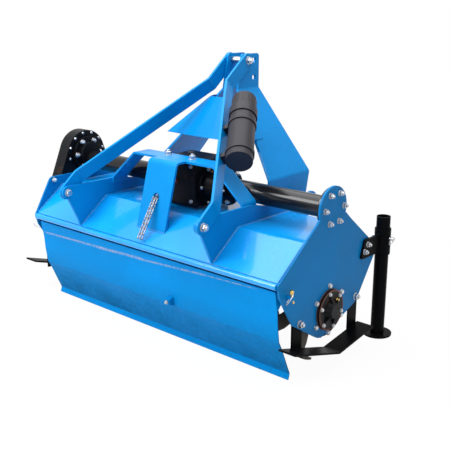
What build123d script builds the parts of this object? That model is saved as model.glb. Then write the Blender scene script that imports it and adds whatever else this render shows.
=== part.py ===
from build123d import *

from math import atan2, cos, hypot, radians, sin, tan
import os

# A tractor-mounted rotary tiller of the 1.5 m class, in millimetres.
# X runs across the machine to its right, Y forward to the tractor and Z up.
# While it is drawn, y = 0 is the rotor axis and z = 0 the ground it stands on.

# Width and main levels
inner_width = 1500.0
side_plate_thickness = 10.0
rotor_axis_z = 236.5
tube_axis_y = 8.0
tube_axis_z = 660.0
pto_axis_z = 660.0

# Side plates, as y and z of their corners
plate_rear_y, plate_rear_z = -343.0, 431.0
plate_rear_low_y, plate_rear_low_z = -329.0, 379.0
plate_heel_y, plate_heel_z = -243.0, 241.0
plate_bottom_y, plate_bottom_z = -54.0, 120.0
plate_toe_y, plate_toe_z = 208.0, 212.0
plate_front_y, plate_front_z = 351.0, 407.0
plate_shoulder_y, plate_shoulder_z = 289.0, 476.0
plate_waist_y, plate_waist_z = 144.0, 590.0
plate_top_rear_y = -114.0
plate_top_z = 604.0
plate_rear_radius = 12.0
plate_rear_low_radius = 20.0
plate_heel_radius = 24.0
plate_bottom_radius = 80.0
plate_toe_radius = 60.0
plate_front_radius = 35.0
plate_shoulder_radius = 30.0
plate_waist_radius = 40.0
left_plate_rear_y = -241.0
left_plate_rear_radius = 25.0
lobe_radius = 92.0
lobe_neck_share = 0.92
lobe_neck_drop = 26.0
lobe_margin = 8.0

# Hood sheet over the rotor
hood_thickness = 4.0
hood_bend = 8.0
hood_rear_y, hood_rear_z = -333.0, 440.0
hood_knee_y, hood_knee_z = -210.0, 531.0
hood_top_rear_y = -172.0
hood_top_z = 558.0
hood_top_front_y = 165.0
hood_brow_y, hood_brow_z = 285.0, 462.0
hood_front_y, hood_front_z = 330.0, 396.0
hinge_rod_radius = 13.5
hinge_rod_setback = 3.4
front_beam_size = 60.0
front_beam_wall = 5.0
front_beam_y = 262.0
front_beam_z = 412.0

# Ribs that carry the struts behind and the lower links in front
rib_x = 408.0
rib_thickness = 12.0
ear_y, ear_z = -395.0, 608.0
ear_radius = 30.0
rib_rear_top_z = 634.0
rib_front_top_z = 613.0
rib_bolt_radius = 9.5
rib_sweep_radius = 60.0
rib_lug_fillet = 30.0
rib_tube_clearance = 0.3

# Three-point hitch
lower_pin_y, lower_pin_z = 339.0, 574.0
lower_bore_radius = 14.25
lower_lug_radius = 42.0
leg_foot_x = 344.0
leg_thickness = 12.0
leg_fold_z = 689.0
leg_foot_rear_y = 112.0
leg_front_y = 406.0
mast_gap = 72.0
mast_top_z = 1211.0
mast_fold_drop = 161.0
leg_bend = 10.0
mast_rear_y = 256.0
mast_top_rear_y = 286.0
mast_corner_radius = 14.0
top_link_radius = 12.85
top_link_y = 371.0
top_link_upper_drop = 30.0
top_link_lower_drop = 110.0
mast_bolt_y = 314.0
mast_bolt_drop = 29.0
mast_bolt_radius = 10.0
spacer_wall = 4.0

# Struts from the rib ears to the mast
strut_width = 65.0
strut_thickness = 12.0
strut_bend = 14.0
strut_low_bend = 100.0
strut_high_bend = 165.0

# Gearbox, its cones and the cross tubes
gearbox_half_width = 111.0
gearbox_rear_y = -96.0
gearbox_front_y = 112.0
gearbox_bottom_z = 572.0
gearbox_top_z = 771.0
gearbox_corner = 16.0
gearbox_rim_width = 16.0
gearbox_rim_step = 5.0
side_cover_radius = 95.0
side_cover_thickness = 16.0
cone_length = 74.0
cone_large_radius = 73.0
cone_small_radius = 56.0
cover_fin_width = 9.0
cover_fin_margin = 14.0
cover_fin_lip = 5.0
tube_flange_radius = 78.0
tube_flange_thickness = 12.0
tube_radius = 44.5
tube_wall = 8.0
input_cap_radius = 70.0
input_cap_length = 46.0
pto_shaft_radius = 17.45
pto_shaft_free = 78.0
pto_spline_count = 6
pto_spline_depth = 2.6
pto_spline_length = 62.0
pto_groove_width = 8.0
pto_clearance = 0.05
breather_x, breather_y = -16.0, 7.0
breather_radius = 17.0
breather_height = 22.0

# Saddle over the gearbox
saddle_thickness = 10.0
saddle_half_width = 248.0
saddle_front_y = -44.0
saddle_leg_depth = 90.0
saddle_foot_drop = 24.0
saddle_foot_rise = 8.0
saddle_bend = 12.0
strap_width = 174.0
strap_x = 0.0
strap_bend_y = -189.0
strap_foot_y, strap_foot_z = -276.0, 468.0
strap_bend = 14.0
strap_hole_radius = 17.5
strap_hole_z = 627.0

# Gear case on the left and the rotor's bearings
gear_case_depth = 62.0
gear_case_cover_depth = 8.0
gear_case_top_radius = 117.0
gear_case_mid_radius = 205.0
gear_case_low_radius = 125.0
gear_case_mid_z = 455.0
gear_case_tube_y, gear_case_tube_z = -3.0, 692.0
case_flange_radius = 86.0
case_flange_length = 40.0
case_flange_rim = 16.0
case_flange_margin = 12.0
case_boss_radius = 58.0
case_fin_width = 14.0
case_fin_lip = 6.0
hub_radius = 85.0
hub_depth = 34.0
hub_rim_depth = 14.0
hub_rim_margin = 18.0
hub_crown_radius = 42.0
hub_crown_taper = 0.7
hub_fin_width = 7.0
hub_fin_turn = 12.0
hub_fin_lip = 2.0
hub_fin_top_share = 0.6
hub_flange_radius = 118.0
hub_flange_thickness = 12.0
bearing_clearance = 0.3

# Rotor
rotor_tube_radius = 38.0
rotor_tip_radius = 225.0
rotor_end_gap = 12.0
rotor_flange_radius = 105.0
rotor_flange_thickness = 10.0
rotor_rings = 7
rotor_ring_margin = 90.0
tines_per_ring = 6
tine_thickness = 8.0
tine_reach = 55.0
tine_width = 60.0
tine_root = 60.0
tine_lean = 12.0
tine_front_drop, tine_rear_drop = 44.0, 60.0
tine_sweep_radius = 30.0
tine_trim = 10.0
ring_twist = 17.0

# Tailgate
tailgate_side_gap = 14.0
tailgate_thickness = 4.0
tailgate_pivot_y, tailgate_pivot_z = -280.0, 371.0
tailgate_top_y, tailgate_top_z = -328.0, 399.0
tailgate_bend = 10.0
tailgate_pin_radius = 8.0
tailgate_pin_clearance = 0.4
tailgate_ear_thickness = 8.0
tailgate_pin_reach = 26.0
lug_x = 154.0
lug_z = 205.0
lug_height = 40.0
lug_width = 26.0
lug_depth = 24.0
lug_taper = 0.6

# Skids
skid_width = 81.0
skid_thickness = 8.0
skid_bend = 20.0
skid_rear_y, skid_rear_z = -309.0, 155.0
skid_low_y, skid_low_z = 1.0, 56.0
skid_front_y, skid_front_z = 257.0, 90.0
skid_post_width = 62.0
skid_post_y = 200.0
skid_post_top = 34.0
skid_post_corner = 12.0
skid_post_seat = 16.0
skid_bolt_z = 236.0
skid_bolt_radius = 9.0
left_skid_gap = 74.0
left_skid_spacer_radius = 20.0

# Parking stands
stand_offset = 5.0
stand_y = 394.0
stand_leg_radius = 30.15
stand_leg_wall = 4.0
stand_leg_top_z = 551.0
stand_foot_radius = 64.0
stand_foot_thickness = 8.0
stand_sleeve_wall = 5.0
stand_sleeve_gap = 0.6
stand_sleeve_low_z = 382.0
stand_sleeve_high_z = 497.0
stand_bracket_thickness = 10.0
stand_bracket_lap = 134.0
stand_bracket_drop = 12.0
stand_bracket_rise = 70.0
stand_bracket_rake = 26.0
stand_bracket_corner = 10.0

# Document tube on the right strut
document_radius = 57.0
document_wall = 3.0
document_length = 260.0
document_lip = 38.0
document_cap_radius = 53.0
document_cap_length = 122.0
document_collar_radius = 61.5
document_collar_length = 46.0
document_fit = 0.5
document_grip_count = 14
document_grip_width = 11.0
document_grip_height = 1.6
document_grip_stop = 7.0
document_start = 221.0
document_standoff = 22.0
document_clamp_width = 22.0
document_clamp_wall = 4.0
document_foot_width = 44.0
document_clamp_places = (34.0, 205.0)

# Sheet guard over the driveline
guard_thickness = 3.0
guard_fit = 0.3
guard_lap = 45.0
guard_low_y, guard_low_z = 66.0, 850.0
guard_low_half, guard_low_outer, guard_low_inner = 236.0, 114.0, 56.0
guard_high_y, guard_high_drop = 180.0, 28.0
guard_high_half, guard_high_outer, guard_high_inner = 62.0, 50.0, 19.0
guard_fold_steps = (3.0, 12.0)
guard_wrap = 20.0

# Chain from the strap's hole down to the hood's rear edge
chain_wire = 4.5
chain_inner_width = 7.0
chain_chamfer = 1.1
chain_slack = 0.6
chain_links = 9
chain_spread = 8.4
chain_seat = 0.3
chain_end_y, chain_end_z = -342.0, 451.0
chain_round = (-90, -54, -18, 18, 54, 90)


def outline(points):
    """A face from (across, up, corner radius) points, once round."""
    corners = [(a, b) for a, b, _ in points]
    radii = [r for _, _, r in points]
    return make_face(FilletPolyline(*corners, radius=radii, close=True))


def left_side(path, thickness):
    """The left face's points of a sheet folded along a path, and how far the path turns at each."""
    left = []
    turns = []
    for i, (a, b) in enumerate(path):
        before = path[max(i - 1, 0)]
        after = path[min(i + 1, len(path) - 1)]
        into = unit(a - before[0], b - before[1]) if i else unit(after[0] - a, after[1] - b)
        out = unit(after[0] - a, after[1] - b) if i < len(path) - 1 else into
        share = thickness / (1 + into[0] * out[0] + into[1] * out[1])
        left.append((a - share * (into[1] + out[1]), b + share * (into[0] + out[0])))
        turns.append(into[0] * out[1] - into[1] * out[0])
    return left, turns


def strip(path, thickness, bend):
    """The section of a bent sheet that lies on the left of its path."""
    left, turns = left_side(path, thickness)
    ends = (0, len(path) - 1)
    near = [(a, b, 0 if i in ends else bend + (thickness if turns[i] > 0 else 0))
            for i, (a, b) in enumerate(path)]
    far = [(a, b, 0 if i in ends else bend + (0 if turns[i] > 0 else thickness))
           for i, (a, b) in enumerate(left)]
    return outline(near + far[::-1])


def unit(a, b):
    """The direction of a 2-D step."""
    size = hypot(a, b)
    return a / size, b / size


def across(face, low_x, high_x):
    """A solid between two x values from a face drawn in y and z."""
    return extrude(Plane.YZ.offset(low_x) * face, amount=high_x - low_x)


def rod(radius, low_x, high_x, y, z):
    """A round bar along X."""
    return across(Pos(y, z) * Circle(radius), low_x, high_x)


def mirrored(shape):
    """The other hand of a shape, about the middle plane."""
    return mirror(shape, about=Plane.YZ)


plate_inner = inner_width / 2
plate_outer = plate_inner + side_plate_thickness
hood_under_z = hood_top_z - hood_thickness
gear_case_outer = -plate_outer - gear_case_depth - gear_case_cover_depth
pto_shaft_end_y = gearbox_front_y + input_cap_length + pto_shaft_free
mast_inner = mast_gap / 2
mast_outer = mast_inner + leg_thickness
mast_fold_z = mast_top_z - mast_fold_drop
top_link_upper_z = mast_top_z - top_link_upper_drop
top_link_lower_z = mast_top_z - top_link_lower_drop
mast_bolt_z = mast_top_z - mast_bolt_drop
stand_x = plate_outer + stand_offset
hinge_rod_y = hood_rear_y - hinge_rod_setback
hinge_rod_z = hood_rear_z - hood_thickness / 2 - hinge_rod_radius


def plate_points(top):
    """Corners of a side plate, with its top edge given."""
    return [
        (plate_rear_low_y, plate_rear_low_z, plate_rear_low_radius),
        (plate_heel_y, plate_heel_z, plate_heel_radius),
        (plate_bottom_y, plate_bottom_z, plate_bottom_radius),
        (plate_toe_y, plate_toe_z, plate_toe_radius),
        (plate_front_y, plate_front_z, plate_front_radius),
        (plate_shoulder_y, plate_shoulder_z, plate_shoulder_radius),
    ] + top + [(plate_rear_y, plate_rear_z, plate_rear_radius)]


def side_plate_right():
    """The right plate, with a lobe that holds the cross tube's end."""
    neck = lobe_radius * lobe_neck_share
    top = [
        (plate_waist_y, plate_waist_z, plate_waist_radius),
        (tube_axis_y + neck, tube_axis_z - lobe_neck_drop, 0),
        (tube_axis_y - neck, tube_axis_z - lobe_neck_drop, 0),
        (plate_top_rear_y, plate_top_z, 0),
    ]
    face = outline(plate_points(top)) + Pos(tube_axis_y, tube_axis_z) * Circle(lobe_radius)
    return across(face, plate_inner, plate_outer) - plate_holes(plate_inner, plate_outer)


def side_plate_left():
    """The left plate, cut off level under the gear case's head."""
    top = [
        (plate_waist_y, plate_top_z, plate_waist_radius),
        (left_plate_rear_y, plate_top_z, left_plate_rear_radius),
    ]
    plate = across(outline(plate_points(top)), -plate_outer, -plate_inner)
    return plate - plate_holes(-plate_outer, -plate_inner)


def plate_holes(low_x, high_x):
    """Holes of one side plate: the rotor's bearing and the tailgate's pivot."""
    pin = tailgate_pin_radius + tailgate_pin_clearance
    holes = rod(rotor_tube_radius + rotor_end_gap, low_x, high_x, 0, rotor_axis_z)
    return holes + rod(pin, low_x, high_x, tailgate_pivot_y, tailgate_pivot_z)


hood_path = [
    (hood_front_y, hood_front_z),
    (hood_brow_y, hood_brow_z),
    (hood_top_front_y, hood_top_z),
    (hood_top_rear_y, hood_top_z),
    (hood_knee_y, hood_knee_z),
    (hood_rear_y, hood_rear_z),
]


def rotor_hood():
    """The bent sheet over the rotor, from plate to plate."""
    return across(strip(hood_path, hood_thickness, hood_bend), -plate_inner, plate_inner)


def hinge_rod():
    """The round bar along the hood's rear edge."""
    return rod(hinge_rod_radius, -plate_inner, plate_inner, hinge_rod_y, hinge_rod_z)


def front_beam():
    """The square tube behind the hood's front fold."""
    outer = Pos(front_beam_y, front_beam_z) * Rectangle(front_beam_size, front_beam_size)
    bore = front_beam_size - 2 * front_beam_wall
    face = outer - Pos(front_beam_y, front_beam_z) * Rectangle(bore, bore)
    return across(face, -plate_inner, plate_inner)


def under_hood():
    """The space below the hood's outer face, in y and z."""
    low = (hood_front_y, 0.0), (hood_rear_y, 0.0)
    return make_face(Polyline(*hood_path, low[1], low[0], close=True))


def rib(inner_x):
    """A plate on edge over the hood, with the strut's ear behind and the link's lug in front."""
    body = outline([
        (ear_y, ear_z - ear_radius, 0),
        (hood_rear_y + 4, hood_rear_z - 2, 0),
        (hood_knee_y, hood_knee_z - 2, 0),
        (0, hood_under_z, 0),
        (hood_top_front_y, hood_under_z, 0),
        (hood_brow_y, hood_brow_z, 0),
        (lower_pin_y, lower_pin_z - lower_lug_radius, rib_lug_fillet),
        (lower_pin_y, rib_front_top_z, 0),
        (tube_axis_y, rib_front_top_z, rib_sweep_radius),
        (gearbox_rear_y, rib_rear_top_z, rib_sweep_radius),
        (ear_y, rib_rear_top_z + 4, 0),
    ])
    face = body + Pos(ear_y, ear_z) * Circle(ear_radius)
    face += Pos(lower_pin_y, lower_pin_z) * Circle(lower_lug_radius)
    face -= under_hood()
    face -= Pos(ear_y, ear_z) * Circle(rib_bolt_radius)
    face -= Pos(lower_pin_y, lower_pin_z) * Circle(lower_bore_radius)
    plate = across(face, inner_x, inner_x + rib_thickness)
    hole_radius = tube_radius + rib_tube_clearance
    return plate - rod(hole_radius, inner_x, inner_x + rib_thickness, tube_axis_y, tube_axis_z)


def mast_leg():
    """The right half of the mast: flat at the top, spread out below, upright at the lower link."""
    foot_z = hood_brow_z
    path = [
        (leg_foot_x, foot_z),
        (leg_foot_x, leg_fold_z),
        (mast_inner, mast_fold_z),
        (mast_inner, mast_top_z),
    ]
    folded = strip(path[::-1], leg_thickness, leg_bend)
    sheet = extrude(Plane.XZ.offset(-leg_front_y) * folded, amount=leg_front_y)
    side = outline([
        (leg_foot_rear_y, foot_z, 0),
        (leg_foot_rear_y, leg_fold_z, 20),
        (mast_rear_y, mast_fold_z, 20),
        (mast_top_rear_y, mast_top_z, mast_corner_radius),
        (leg_front_y, mast_top_z, mast_corner_radius),
        (leg_front_y, mast_fold_z, 0),
        (leg_front_y, leg_fold_z, 40),
        (lower_pin_y + lower_lug_radius, lower_pin_z, 0),
        (lower_pin_y + lower_lug_radius, lower_pin_z - lower_lug_radius, lower_lug_radius - 1),
        (hood_brow_y, hood_brow_z, 0),
    ])
    side -= under_hood()
    side -= Pos(lower_pin_y, lower_pin_z) * Circle(lower_bore_radius)
    side -= Pos(top_link_y, top_link_upper_z) * Circle(top_link_radius)
    side -= Pos(top_link_y, top_link_lower_z) * Circle(top_link_radius)
    side -= Pos(mast_bolt_y, mast_bolt_z) * Circle(mast_bolt_radius)
    return sheet & across(side, 0, rib_x)


def top_link_spacer():
    """The tube between the two mast plates."""
    ring = Circle(mast_bolt_radius + spacer_wall) - Circle(mast_bolt_radius)
    return across(Pos(mast_bolt_y, mast_bolt_z) * ring, -mast_inner, mast_inner)


strut_slope = atan2(mast_bolt_z - ear_z, mast_bolt_y - ear_y)
strut_length = hypot(mast_bolt_z - ear_z, mast_bolt_y - ear_y)
strut_low_x = rib_x + rib_thickness
strut_plane = Plane(
    origin=(0, ear_y, ear_z),
    x_dir=(0, cos(strut_slope), sin(strut_slope)),
    z_dir=(0, -sin(strut_slope), cos(strut_slope)),
)


def strut():
    """The right flat bar, on edge, from the rib's ear to the mast."""
    end = strut_width / 2
    path = [
        (-end, -strut_low_x),
        (strut_low_bend, -strut_low_x),
        (strut_length - strut_high_bend, -mast_outer),
        (strut_length + end, -mast_outer),
    ]
    section = strip(path[::-1], strut_thickness, strut_bend)
    bar = extrude(strut_plane * section, amount=end, both=True)
    side = Pos(strut_length / 2, 0) * SlotOverall(strut_length + strut_width, strut_width)
    for along in (0, strut_length):
        side -= Pos(along, 0) * Circle(rib_bolt_radius)
    side_plane = Plane(origin=(0, ear_y, ear_z), x_dir=strut_plane.x_dir, z_dir=(1, 0, 0))
    return bar & extrude(side_plane * side, amount=strut_low_x + 2 * strut_thickness)


def gearbox_housing():
    """The cast housing, with the input bearing's cap in front."""
    width = 2 * gearbox_half_width
    depth = gearbox_front_y - gearbox_rear_y
    height = gearbox_top_z - gearbox_bottom_z
    middle = (gearbox_front_y + gearbox_rear_y) / 2
    block = Pos(0, middle, gearbox_bottom_z + height / 2) * Box(width, depth, height)
    block = fillet(block.edges().filter_by(Axis.Y), gearbox_corner)
    front = Plane.XZ.offset(-gearbox_front_y)
    cap = extrude(front * Pos(0, pto_axis_z) * Circle(input_cap_radius), amount=-input_cap_length)
    bore_radius = pto_shaft_radius + pto_clearance
    bore = extrude(front * Pos(0, pto_axis_z) * Circle(bore_radius), amount=-input_cap_length)
    rim = Box(gearbox_rim_width, depth + 2 * gearbox_rim_step, height)
    rim = fillet(rim.edges().filter_by(Axis.X), gearbox_corner / 2)
    for side in (-1, 1):
        seat_x = side * (gearbox_half_width - gearbox_rim_width / 2)
        block += Pos(seat_x, middle, gearbox_bottom_z + height / 2) * rim
    return block + cap - bore


def gearbox_side_cover():
    """The right side cover: a bolted disc that narrows to the tube's flange."""
    disc = rod(side_cover_radius, gearbox_half_width, gearbox_half_width + side_cover_thickness,
               tube_axis_y, tube_axis_z)
    start = gearbox_half_width + side_cover_thickness
    wide = Plane.YZ.offset(start) * Pos(tube_axis_y, tube_axis_z) * Circle(cone_large_radius)
    end = start + cone_length
    narrow = Plane.YZ.offset(end) * Pos(tube_axis_y, tube_axis_z) * Circle(cone_small_radius)
    flange = rod(tube_flange_radius, end, end + tube_flange_thickness, tube_axis_y, tube_axis_z)
    cover = disc + loft([wide, narrow]) + flange
    profile = [
        (start - 1, cone_small_radius / 2),
        (start - 1, side_cover_radius - cover_fin_margin),
        (start + cover_fin_lip, side_cover_radius - cover_fin_margin),
        (end - 1, cone_small_radius + cover_fin_lip),
        (end - 1, cone_small_radius / 2),
    ]
    for fin in fins(6, cover_fin_width, profile, 30):
        cover += Pos(0, tube_axis_y, tube_axis_z) * fin
    return cover


def gearbox_breather():
    """The filler and breather cap on the gearbox."""
    seat = Pos(breather_x, breather_y, gearbox_top_z + breather_height / 2)
    return seat * Cylinder(breather_radius, breather_height)


def pto_shaft():
    """The splined input stub."""
    inner_y = gearbox_front_y + bearing_clearance
    length = pto_shaft_end_y - inner_y
    plane = Plane.XZ.offset(-inner_y)
    shaft = extrude(plane * Pos(0, pto_axis_z) * Circle(pto_shaft_radius), amount=-length)
    groove = Pos(0, pto_shaft_radius) * Rectangle(pto_groove_width, 2 * pto_spline_depth)
    grooves = Sketch() + [Rot(0, 0, i * 360 / pto_spline_count) * groove
                          for i in range(pto_spline_count)]
    end_plane = Plane.XZ.offset(-pto_shaft_end_y)
    return shaft - extrude(end_plane * Pos(0, pto_axis_z) * grooves, amount=pto_spline_length)


tube_start = gearbox_half_width + side_cover_thickness + cone_length + tube_flange_thickness


def cross_tube(end_x, end_flange):
    """A cross tube from the cover's flange, with a flange at its outer end where one is named."""
    tube = rod(tube_radius, tube_start, end_x, tube_axis_y, tube_axis_z)
    tube += rod(tube_flange_radius, tube_start, tube_start + tube_flange_thickness,
                tube_axis_y, tube_axis_z)
    if end_flange:
        tube += rod(end_flange, end_x - tube_flange_thickness, end_x, tube_axis_y, tube_axis_z)
    return tube - rod(tube_radius - tube_wall, tube_start, end_x, tube_axis_y, tube_axis_z)


def gearbox_saddle():
    """The plate over the gearbox and its two sloping legs."""
    top = gearbox_top_z + saddle_thickness
    foot_z = rib_rear_top_z - saddle_foot_drop
    path = [
        (-rib_x, foot_z),
        (-rib_x, rib_rear_top_z + saddle_foot_rise),
        (-saddle_half_width, top),
        (saddle_half_width, top),
        (rib_x, rib_rear_top_z + saddle_foot_rise),
        (rib_x, foot_z),
    ]
    section = strip(path[::-1], saddle_thickness, saddle_bend)
    return extrude(Plane.XZ.offset(-saddle_front_y) * section, amount=saddle_leg_depth)


strap_top_z = gearbox_top_z + saddle_thickness
strap_lean = atan2(strap_top_z - strap_foot_z, strap_bend_y - strap_foot_y)
strap_hole_y = strap_bend_y - (strap_top_z - strap_hole_z) / tan(strap_lean)
strap_out = (-sin(strap_lean), cos(strap_lean))


def saddle_strap():
    """The strap from the saddle down to the hood, with the chain's hole."""
    seam = saddle_front_y - saddle_leg_depth
    path = [(seam, strap_top_z), (strap_bend_y, strap_top_z), (strap_foot_y, strap_foot_z)]
    low_x, high_x = strap_x - strap_width / 2, strap_x + strap_width / 2
    plate = across(strip(path, saddle_thickness, strap_bend), low_x, high_x)
    plate -= across(under_hood(), low_x, high_x)
    hole = Plane(origin=(strap_x, strap_hole_y, strap_hole_z), x_dir=(1, 0, 0), z_dir=(0, *strap_out))
    return plate - extrude(hole * Circle(strap_hole_radius), amount=2 * saddle_thickness, both=True)


def case_face(grow=0.0):
    """The gear case's outline: three rounds and the tangents between them."""
    rounds = [
        (gear_case_tube_y, gear_case_tube_z, gear_case_top_radius),
        (gear_case_tube_y - 6, gear_case_mid_z, gear_case_mid_radius),
        (0.0, rotor_axis_z, gear_case_low_radius),
    ]
    face = Sketch()
    for y, z, r in rounds:
        face += Pos(y, z) * Circle(r + grow)
    for (y0, z0, r0), (y1, z1, r1) in zip(rounds, rounds[1:]):
        face += waist(y0, z0, r0 + grow, y1, z1, r1 + grow)
    return face


def waist(y0, z0, r0, y1, z1, r1):
    """The quadrilateral between the outer tangents of two circles."""
    span = hypot(y1 - y0, z1 - z0)
    heading = atan2(z1 - z0, y1 - y0)
    spread = atan2(((span * span) - (r0 - r1) ** 2) ** 0.5, r0 - r1)
    corners = []
    for side, order in ((1, (0, 1)), (-1, (1, 0))):
        turn = heading + side * spread
        pair = [(y0 + r0 * cos(turn), z0 + r0 * sin(turn)), (y1 + r1 * cos(turn), z1 + r1 * sin(turn))]
        corners += [pair[i] for i in order]
    return make_face(Polyline(*corners, close=True))


def gear_case():
    """The closed case on the left that drives the rotor."""
    return across(case_face(), -plate_outer - gear_case_depth, -plate_outer)


def gear_case_cover():
    """The case's outer cover, flush with its rim."""
    return across(case_face(), gear_case_outer, -plate_outer - gear_case_depth)


def fins(count, width, profile, turn=0.0):
    """Radial ribs about X, each from (along X, radius) points."""
    face = make_face(Polyline(*profile, close=True))
    fin = extrude(Plane.XZ * face, amount=width / 2, both=True)
    return [Rot(turn + i * 360 / count, 0, 0) * fin for i in range(count)]


def tube_flange_left():
    """The ribbed cast flange on the case's inner side, where the left tube lands."""
    flange = rod(case_flange_radius, 0, case_flange_rim, 0, 0)
    flange += rod(case_boss_radius, 0, case_flange_length, 0, 0)
    profile = [
        (case_flange_rim / 2, case_boss_radius / 2),
        (case_flange_rim / 2, case_flange_radius - case_flange_margin),
        (case_flange_rim + case_fin_lip, case_flange_radius - case_flange_margin),
        (case_flange_length - case_fin_lip, case_boss_radius - 1),
        (case_flange_length - case_fin_lip, case_boss_radius / 2),
    ]
    for fin in fins(6, case_fin_width, profile, 30):
        flange += fin
    return Pos(-plate_outer, gear_case_tube_y, gear_case_tube_z) * flange


def rotor_hub(cap_depth):
    """A bearing housing through the side plate, with a cast cap outside where a depth is given."""
    flange = rod(hub_flange_radius, plate_inner - hub_flange_thickness, plate_inner, 0, rotor_axis_z)
    boss = rod(rotor_tube_radius + rotor_end_gap, plate_inner, plate_outer, 0, rotor_axis_z)
    bore_radius = rotor_tube_radius + bearing_clearance
    hub = flange + boss - rod(bore_radius, plate_inner - hub_flange_thickness, plate_outer, 0, rotor_axis_z)
    if cap_depth:
        hub += Pos(plate_outer, 0, rotor_axis_z) * hub_cap(cap_depth)
    return hub


def hub_cap(depth):
    """The right bearing's cast cap: a bolted rim, a raised middle and radial ribs."""
    cap = rod(hub_radius, 0, hub_rim_depth, 0, 0)
    wide = Plane.YZ.offset(hub_rim_depth) * Circle(hub_crown_radius)
    narrow = Plane.YZ.offset(depth) * Circle(hub_crown_radius * hub_crown_taper)
    cap += loft([wide, narrow])
    profile = [
        (hub_rim_depth / 2, hub_crown_radius / 2),
        (hub_rim_depth / 2, hub_radius - hub_rim_margin),
        (hub_rim_depth + hub_fin_lip, hub_radius - hub_rim_margin),
        (depth - hub_fin_lip, hub_crown_radius * hub_fin_top_share),
        (depth - hub_fin_lip, hub_crown_radius / 2),
    ]
    for fin in fins(6, hub_fin_width, profile, hub_fin_turn):
        cap += fin
    return cap


def rotor_shaft():
    """The rotor's tube, from bearing to bearing."""
    end = plate_outer - bearing_clearance
    return rod(rotor_tube_radius, -end, end, 0, rotor_axis_z)


def tine(side):
    """One curved blade in its ring's own frame, its tip bent to one side along X."""
    shank = outline([
        (-tine_width / 2, tine_root, 0),
        (tine_width / 2, tine_root, 0),
        (tine_width / 2 + tine_lean, rotor_tip_radius - tine_front_drop, tine_sweep_radius),
        (tine_width / 2 + 2 * tine_lean, rotor_tip_radius + tine_trim, 0),
        (-tine_lean, rotor_tip_radius + tine_trim, 0),
        (-tine_width / 2, rotor_tip_radius - tine_rear_drop, tine_sweep_radius),
    ])
    low = 0 if side > 0 else -tine_thickness
    blade = across(shank & Circle(rotor_tip_radius), low, low + tine_thickness)
    rim = Circle(rotor_tip_radius) - Circle(rotor_tip_radius - tine_thickness)
    start, end = (0, tine_reach) if side > 0 else (-tine_reach, 0)
    return blade + across(rim & shank, start, end)


def rotor_tines():
    """The flanges on the rotor's tube and their tines, each turned a little from the one before."""
    half = rotor_flange_thickness / 2
    pitch = (inner_width - 2 * rotor_ring_margin) / (rotor_rings - 1)
    rings = []
    for index in range(rotor_rings):
        ring = across(Circle(rotor_flange_radius) - Circle(rotor_tube_radius), -half, half)
        for i in range(tines_per_ring):
            side = 1 if i % 2 else -1
            turn = i * 360 / tines_per_ring + index * ring_twist
            ring += Rot(turn, 0, 0) * Pos(side * half, 0, 0) * tine(side)
        middle = (index - (rotor_rings - 1) / 2) * pitch
        rings.append(Pos(middle, 0, rotor_axis_z) * ring)
    return Compound(children=rings)


tailgate_path = [
    (tailgate_top_y, tailgate_top_z),
    (-314.0, 317.0),
    (-310.0, 254.0),
    (-300.0, 183.0),
    (-282.0, 149.0),
    (-227.0, 24.0),
    (-235.0, 0.0),
]
tailgate_half = plate_inner - tailgate_side_gap


def tailgate_panel():
    """The curved sheet behind the rotor."""
    section = strip(tailgate_path, tailgate_thickness, tailgate_bend)
    return across(section, -tailgate_half, tailgate_half)


def tailgate_ear(inner_x):
    """An end plate and its pivot pin, on the right."""
    face = outline([
        (tailgate_path[1][0] + 5, tailgate_path[1][1], 0),
        (tailgate_pivot_y + 4, tailgate_pivot_z - 18, 10),
        (tailgate_pivot_y + 14, tailgate_pivot_z + 14, 12),
        (tailgate_top_y + 8, tailgate_top_z - 6, 0),
    ])
    ear = across(face, inner_x - tailgate_ear_thickness, inner_x)
    reach = plate_outer + tailgate_pin_reach
    return ear + rod(tailgate_pin_radius, inner_x, reach, tailgate_pivot_y, tailgate_pivot_z)


def tailgate_bracket():
    """The small lug on the tailgate's back where the chain is pinned."""
    (high_y, high_z), (low_y, low_z) = tailgate_path[2:4]
    lean = (low_y - high_y) / (low_z - high_z)
    half = lug_height / 2
    front = [(high_y + lean * (z - high_z), z) for z in (lug_z - half, lug_z + half)]
    nose = half * lug_taper
    back = [(front[1][0] - lug_depth, lug_z + nose), (front[0][0] - lug_depth, lug_z - nose)]
    face = make_face(Polyline(*front, *back, close=True))
    return across(face, lug_x - lug_width / 2, lug_x + lug_width / 2)


def skid(inner_x, spacer):
    """A bent wear strip and its two posts. On the left, tubes space it off the plate."""
    path = [
        (skid_front_y, skid_front_z),
        (skid_low_y, skid_low_z),
        (skid_rear_y, skid_rear_z),
    ]
    strip_face = strip(path[::-1], skid_thickness, skid_bend)
    shoe = across(strip_face, inner_x, inner_x + skid_width)
    for y in (-skid_post_y, skid_post_y):
        share = abs(y - skid_low_y) / abs((skid_front_y if y > 0 else skid_rear_y) - skid_low_y)
        end_z = skid_front_z if y > 0 else skid_rear_z
        seat_z = skid_low_z + share * (end_z - skid_low_z)
        low = seat_z + skid_thickness / 2 - skid_post_seat
        post = outline([
            (y - skid_post_width / 2, low, 0),
            (y + skid_post_width / 2, low, 0),
            (y + skid_post_width / 2, skid_bolt_z + skid_post_top, skid_post_corner),
            (y - skid_post_width / 2, skid_bolt_z + skid_post_top, skid_post_corner),
        ]) - Pos(y, skid_bolt_z) * Circle(skid_bolt_radius)
        shoe += across(post, inner_x, inner_x + skid_thickness)
        if spacer:
            ring = Circle(left_skid_spacer_radius) - Circle(skid_bolt_radius)
            shoe += across(Pos(y, skid_bolt_z) * ring, inner_x - spacer, inner_x)
    return shoe


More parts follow.
